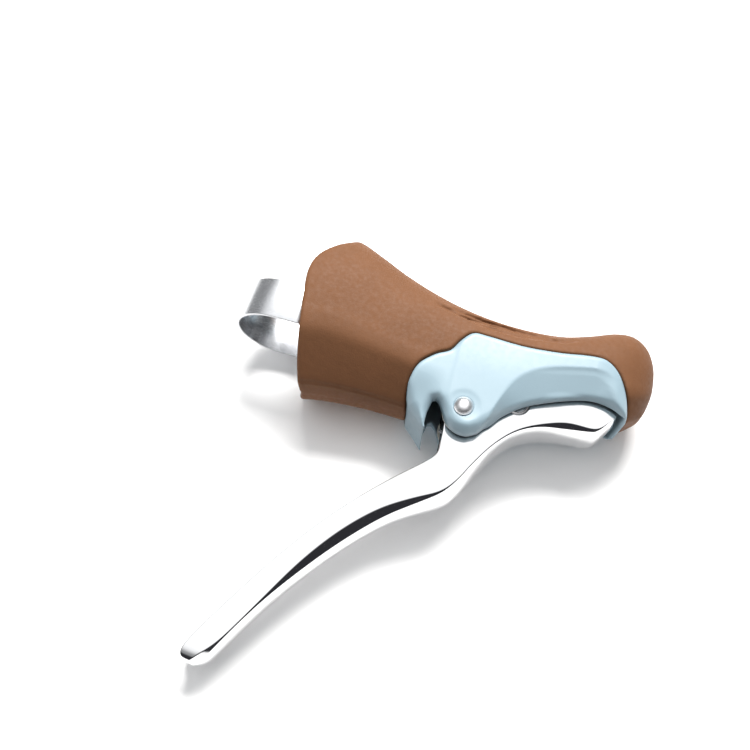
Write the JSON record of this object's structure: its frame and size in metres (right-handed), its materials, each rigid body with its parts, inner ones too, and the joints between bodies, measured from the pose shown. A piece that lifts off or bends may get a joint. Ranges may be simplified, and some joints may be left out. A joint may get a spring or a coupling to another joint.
{
  "type": "bicycle brake lever",
  "caption": "Aero brake lever for a drop handlebar: cast bracket with rubber hood, polished curved blade on a cross pivot, cable anchor, return spring and band clamp.",
  "frame": {"origin": "centre of the handlebar clamp, on the bar's axis, at half the height of the saddle", "axes": "+Z along the handlebar at the clamp, towards the bar's tops (up as mounted); +X forwards, away from the bar; +Y to the rider's left, parallel to the blade's pivot"},
  "size_m": [0.1219, 0.0348, 0.1281],
  "materials": {
    "bracket_paint": "smooth satin pale blue paint on cast aluminium",
    "hood_rubber": "brown moulded rubber, fine matt grain",
    "blade_alloy": "mirror polished forged aluminium",
    "pivot_steel": "bright plated domed heads",
    "bush_bronze": "sintered bronze, oiled",
    "nylon": "natural nylon",
    "spring_steel": "drawn spring steel",
    "plated_steel": "turned, zinc plated",
    "band_steel": "brushed stainless strip",
    "bolt_steel": "blackened steel",
    "bumper_rubber": "soft black rubber"
  },
  "bodies": {
    "bracket": {"lever_body": "bracket_paint", "hood": "hood_rubber", "pivot_pin": "pivot_steel", "pivot_cap": "pivot_steel", "thrust_washer_left": "nylon", "thrust_washer_right": "nylon", "spring_sleeve": "nylon", "return_spring": "spring_steel", "housing_stop": "plated_steel", "cable_guide": "nylon", "clamp_washer": "plated_steel", "blade_bumper": "bumper_rubber"},
    "blade": {"lever_blade": "blade_alloy", "pivot_bush_left": "bush_bronze", "pivot_bush_right": "bush_bronze", "spring_pin": "spring_steel"},
    "anchor": {"cable_anchor": "plated_steel"},
    "clamp_screw": {"clamp_bolt": "bolt_steel"},
    "clamp_strap": {"clamp_band": "band_steel", "clamp_nut": "plated_steel"}
  },
  "joints": [
    {"name": "blade_pivot", "type": "hinge", "parent": "bracket", "child": "blade", "pos_m": [0.058, 0, -0.0178], "axis": [0, 1, 0], "range_deg": [0, 25], "stiffness_Nm_per_rad": 0.35, "springref_deg": -20.05, "deforming": ["return_spring"]},
    {"name": "anchor_swivel", "type": "hinge", "parent": "blade", "child": "anchor", "pos_m": [0.0724, 0, -0.0104], "axis": [0, 1, 0], "range_deg": [-25, 0]},
    {"name": "clamp_turn", "type": "hinge", "parent": "bracket", "child": "clamp_screw", "pos_m": [0.028, 0, 0], "axis": [1, 0, 0], "range_deg": [0, 360]},
    {"name": "clamp_slack", "type": "slide", "parent": "bracket", "child": "clamp_strap", "axis": [-1, 0, 0], "range_m": [0, 0.001]}
  ],
  "couplings": [
    {"joint": "anchor_swivel", "follows": "blade_pivot", "ratio": -1},
    {"joint": "clamp_turn", "follows": "clamp_slack", "rad_per_m": 6283.2}
  ]
}
